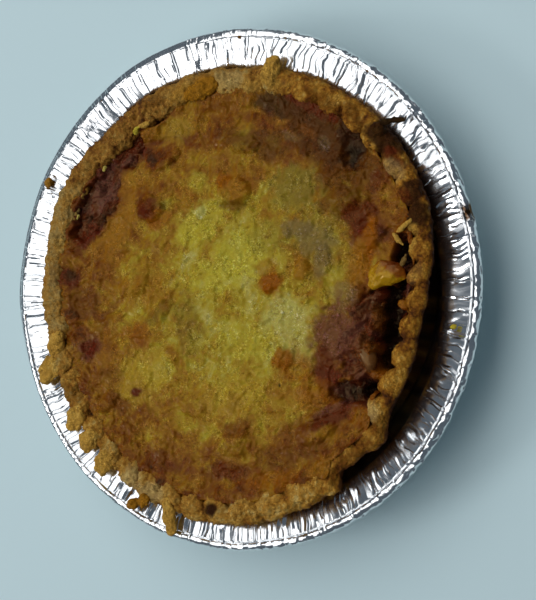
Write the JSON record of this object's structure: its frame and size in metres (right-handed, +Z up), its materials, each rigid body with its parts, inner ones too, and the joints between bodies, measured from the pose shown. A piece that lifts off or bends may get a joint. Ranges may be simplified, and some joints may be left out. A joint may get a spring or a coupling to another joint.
{
  "type": "cheese and chilli pie",
  "caption": "Round deep savoury pie with a crimped pastry rim, chilli filling and browned cheese topping, baked and still sitting in its own foil tin with a pleated edge.",
  "frame": {"origin": "the middle of the flat underside of the foil tin, on the surface that it stands on", "axes": "+Z up through the middle of the pie; +X towards the side where the crust has shrunk away from the tin and the filling shows most, +Y square to it"},
  "size_m": [0.2218, 0.2218, 0.0369],
  "materials": {
    "foil": "bright thin foil, pleated and creased",
    "pastry": "dry, sandy, baked wholemeal crust, golden to dark brown",
    "filling": "moist dark red-brown chilli",
    "cheese": "melted cheese, yellow in the middle and browned towards the rim, slightly greasy",
    "pepper": "cooked yellow pepper, glossy",
    "bean": "cooked bean, satin"
  },
  "bodies": {
    "root": {"foil_tin": "foil", "pastry_case": "pastry", "chilli_filling": "filling", "cheese_topping": "cheese", "pepper_piece": "pepper", "bean_piece": "bean"}
  },
  "joints": []
}
